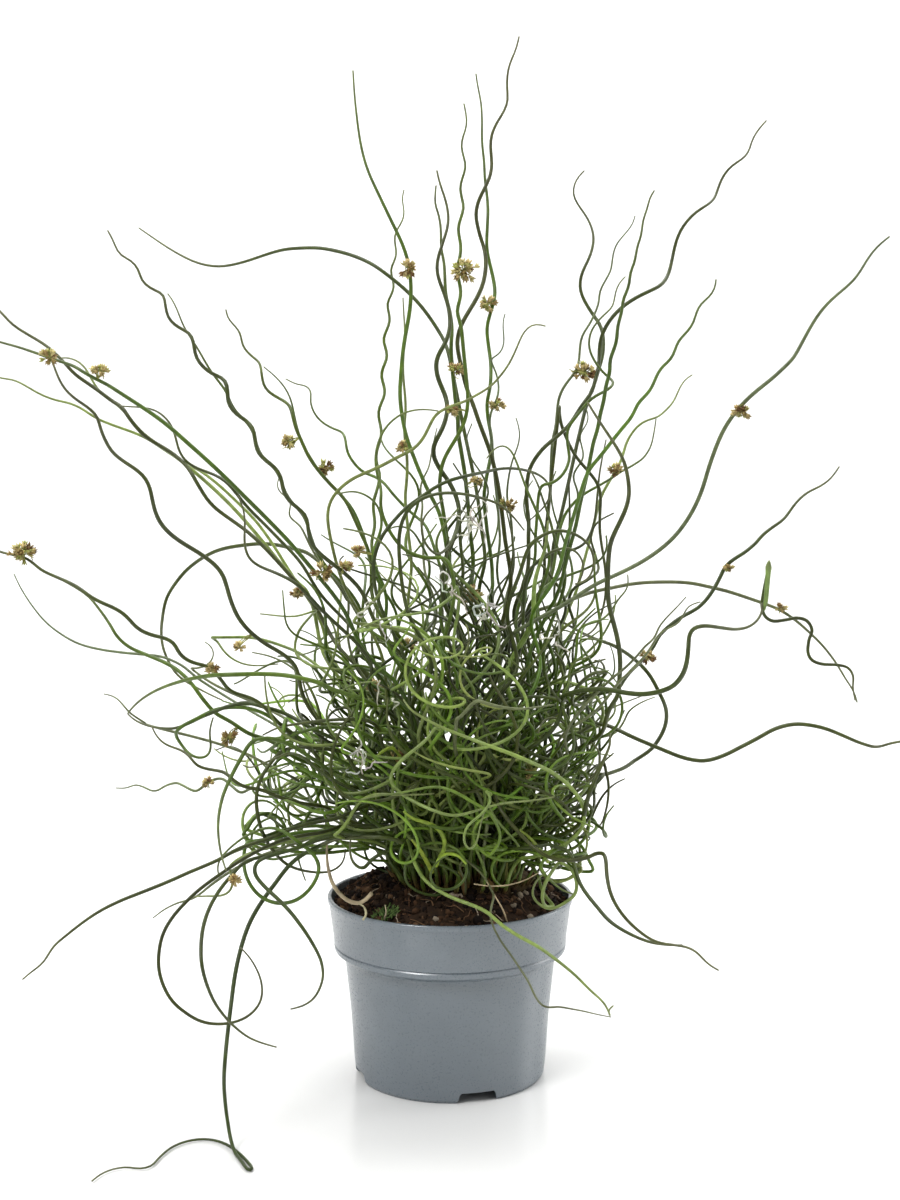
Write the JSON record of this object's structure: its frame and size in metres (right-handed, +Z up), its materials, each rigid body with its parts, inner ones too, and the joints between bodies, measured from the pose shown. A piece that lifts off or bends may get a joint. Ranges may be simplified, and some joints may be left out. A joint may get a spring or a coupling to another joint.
{
  "type": "corkscrew rush in a nursery pot",
  "caption": "Potted corkscrew rush: a clump of wiry, spiralling green stems with small tan flower heads, rooted in peat in a round blue-grey plastic nursery pot.",
  "frame": {"origin": "on the ground under the middle of the pot and clump, at the pot's foot", "axes": "+Z up along the pot's axis, -Y towards the side the picture shows, +X to the picture's right"},
  "size_m": [0.5527, 0.3807, 0.5897],
  "materials": {
    "pot_plastic": "satin",
    "peat": "matte",
    "crown_fibre": "matte",
    "moss": "matte",
    "stem_green": "satin",
    "stem_olive": "satin",
    "stem_dry": "matte",
    "flower_tan": "matte"
  },
  "bodies": {
    "root": {"pot": "pot_plastic", "peat_root_ball": "peat", "crown": "crown_fibre", "moss_tuft": "moss", "stem_t01": "stem_olive", "stem_t02": "stem_green", "stem_t03": "stem_green", "stem_t04": "stem_olive", "stem_t05": "stem_green", "stem_t06": "stem_green", "stem_t07": "stem_green", "stem_t08": "stem_green", "stem_t09": "stem_green", "stem_t10": "stem_green", "stem_l01": "stem_green", "stem_l02": "stem_green", "stem_l03": "stem_green", "stem_l04": "stem_green", "stem_l05": "stem_olive", "stem_l06": "stem_green", "stem_l07": "stem_olive", "stem_l08": "stem_green", "stem_l09": "stem_dry", "stem_l10": "stem_olive", "stem_l11": "stem_green", "stem_l12": "stem_dry", "stem_l13": "stem_green", "stem_ll1": "stem_green", "stem_ll2": "stem_green", "stem_ll3": "stem_green", "stem_ll4": "stem_green", "stem_ll5": "stem_green", "stem_r01": "stem_olive", "stem_r02": "stem_green", "stem_r03": "stem_green", "stem_r06": "stem_green", "stem_r07": "stem_green", "stem_r08": "stem_green", "stem_r09": "stem_green", "stem_r10": "stem_olive", "stem_r11": "stem_green", "stem_r13": "stem_green", "stem_r14": "stem_olive", "stem_r15": "stem_green", "stem_b01": "stem_green", "stem_b02": "stem_green", "stem_b03": "stem_dry", "tuft_left": "stem_green", "tuft_right": "stem_green", "tuft_front": "stem_green", "tuft_back": "stem_green", "tuft_middle": "stem_green", "flower_01": "flower_tan", "flower_02": "flower_tan", "flower_03": "flower_tan", "flower_04": "flower_tan", "flower_05": "flower_tan", "flower_06": "flower_tan", "flower_07": "flower_tan", "flower_08": "flower_tan"}
  },
  "joints": []
}
